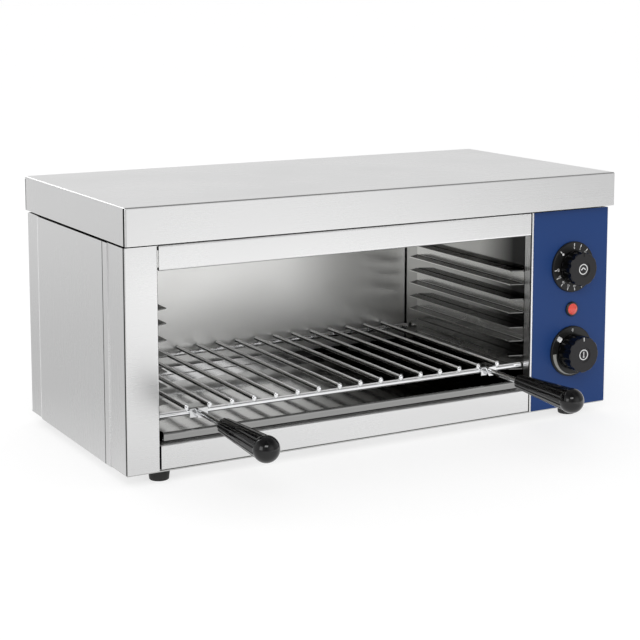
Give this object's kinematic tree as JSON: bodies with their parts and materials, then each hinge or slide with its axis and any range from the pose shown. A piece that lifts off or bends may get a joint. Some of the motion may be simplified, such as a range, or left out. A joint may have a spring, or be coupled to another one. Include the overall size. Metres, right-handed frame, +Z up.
{
  "type": "cheese melter",
  "caption": "Countertop cheese melter: open-fronted steel grilling chamber with rack rails, sliding wire grid with fluted handles, crumb tray, roof elements and a side control column.",
  "frame": {"origin": "on the table, under the middle of the bounding box, handles and cable gland included", "axes": "+X to the right seen from the front, +Y from the front to the back, +Z up"},
  "size_m": [0.614, 0.461, 0.288],
  "materials": {
    "skin_steel": "fine satin brush, seen on the lid, posts and covers",
    "panel_steel": "plain mill finish on rear and bottom",
    "chamber_steel": "brushed, slightly heat-dulled",
    "tray_steel": "polished sheet with fine scratches",
    "grid_chrome": "bright nickel chrome wire",
    "handle_steel": "bright zinc plate",
    "grip_black": "glossy moulded thermoset",
    "fascia_blue": "satin blue",
    "dial_black": "satin black with pale scale",
    "knob_black": "fine grain on the face, gloss on the flank",
    "print_white": "screen-printed scales and signs",
    "shaft_steel": "turned",
    "switch_case": "pale thermoset",
    "bulb_copper": "drawn copper tube",
    "lens_red": "translucent red",
    "lamp_black": "moulded",
    "gland_black": "moulded polyamide",
    "ceramic": "unglazed steatite",
    "brass": "turned brass",
    "sheath_dark": "oxidised heat-resistant sheath",
    "foot_rubber": "matt",
    "screw_zinc": "zinc plate"
  },
  "bodies": {
    "body": {"top_cover": "skin_steel", "left_front_post": "skin_steel", "right_front_post": "skin_steel", "left_side_cover": "skin_steel", "right_side_cover": "skin_steel", "header": "skin_steel", "sill": "skin_steel", "rear_panel": "panel_steel", "base_plate": "panel_steel", "left_liner": "chamber_steel", "right_liner": "chamber_steel", "chamber_back": "chamber_steel", "reflector": "chamber_steel", "grid_rests": "chamber_steel", "element_hangers": "chamber_steel", "left_rail_1": "chamber_steel", "right_rail_1": "chamber_steel", "left_rail_2": "chamber_steel", "right_rail_2": "chamber_steel", "left_rail_3": "chamber_steel", "right_rail_3": "chamber_steel", "left_rail_4": "chamber_steel", "right_rail_4": "chamber_steel", "control_fascia": "fascia_blue", "timer_dial": "dial_black", "thermostat_dial": "dial_black", "timer_body": "switch_case", "thermostat_body": "switch_case", "thermostat_bulb": "bulb_copper", "lamp_lens": "lens_red", "lamp_bezel": "lamp_black", "lamp_body": "lamp_black", "cable_gland": "gland_black", "gland_nut": "gland_black", "terminal_block": "ceramic", "element_insulators": "ceramic", "element_collars": "brass", "element_nuts": "brass", "element_terminals": "brass", "front_element": "sheath_dark", "rear_element": "sheath_dark", "feet": "foot_rubber", "foot_screws": "screw_zinc", "body_screws": "screw_zinc", "control_screws": "screw_zinc"},
    "grid": {"grid_front_bar": "grid_chrome", "grid_back_bar": "grid_chrome", "grid_rods": "grid_chrome", "left_handle_bracket": "handle_steel", "right_handle_bracket": "handle_steel", "left_handle_rod": "handle_steel", "right_handle_rod": "handle_steel", "left_handle_grip": "grip_black", "right_handle_grip": "grip_black", "handle_nuts": "handle_steel"},
    "tray": {"crumb_tray": "tray_steel"},
    "timer": {"timer_knob": "knob_black", "timer_shaft": "shaft_steel"},
    "thermostat": {"thermostat_knob": "knob_black", "thermostat_shaft": "shaft_steel"}
  },
  "joints": [
    {"name": "grid_slide", "type": "slide", "parent": "body", "child": "grid", "axis": [0, -1, 0], "range_m": [0, 0.235]},
    {"name": "tray_slide", "type": "slide", "parent": "body", "child": "tray", "axis": [0, -1, 0], "range_m": [0, 0.24]},
    {"name": "timer_turn", "type": "hinge", "parent": "body", "child": "timer", "pos_m": [0.254, -0.0809, 0.1793], "axis": [0, 1, 0], "range_deg": [-45, 265]},
    {"name": "thermostat_turn", "type": "hinge", "parent": "body", "child": "thermostat", "pos_m": [0.254, -0.0809, 0.0793], "axis": [0, 1, 0], "range_deg": [0, 310]}
  ]
}
